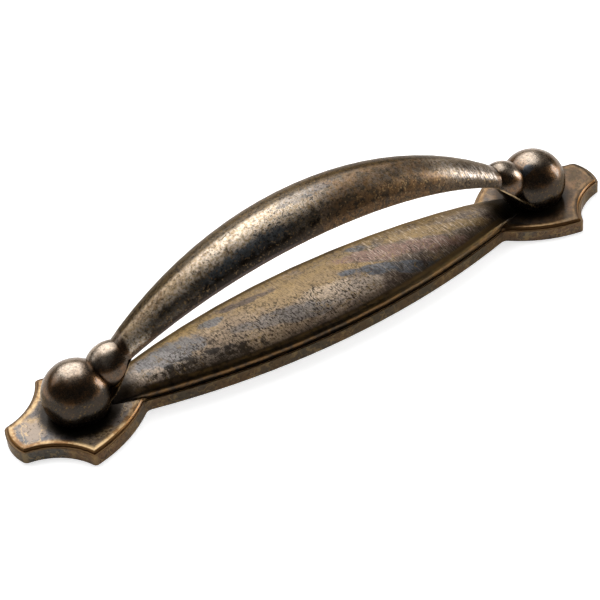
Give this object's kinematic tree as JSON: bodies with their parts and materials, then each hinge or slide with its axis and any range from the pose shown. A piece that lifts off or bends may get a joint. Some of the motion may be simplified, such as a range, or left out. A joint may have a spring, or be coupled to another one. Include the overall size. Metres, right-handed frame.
{
  "type": "cabinet handle",
  "caption": "Bow-shaped cabinet pull with bead and ball ends on a moulded lens-shaped backplate, cast metal in an aged bronze finish.",
  "frame": {"origin": "centre of the backplate's back face, midway between the two screws", "axes": "+X along the handle through both screws, +Z out of the door or drawer front towards the hand, +Y across the handle"},
  "size_m": [0.123, 0.0228, 0.0273],
  "materials": {
    "handle_metal": "aged bronze plating on a zinc alloy casting, relieved, satin",
    "backplate_metal": "aged bronze plating on a zinc alloy casting, relieved, satin"
  },
  "bodies": {
    "root": {"handle": "handle_metal", "backplate": "backplate_metal"}
  },
  "joints": []
}
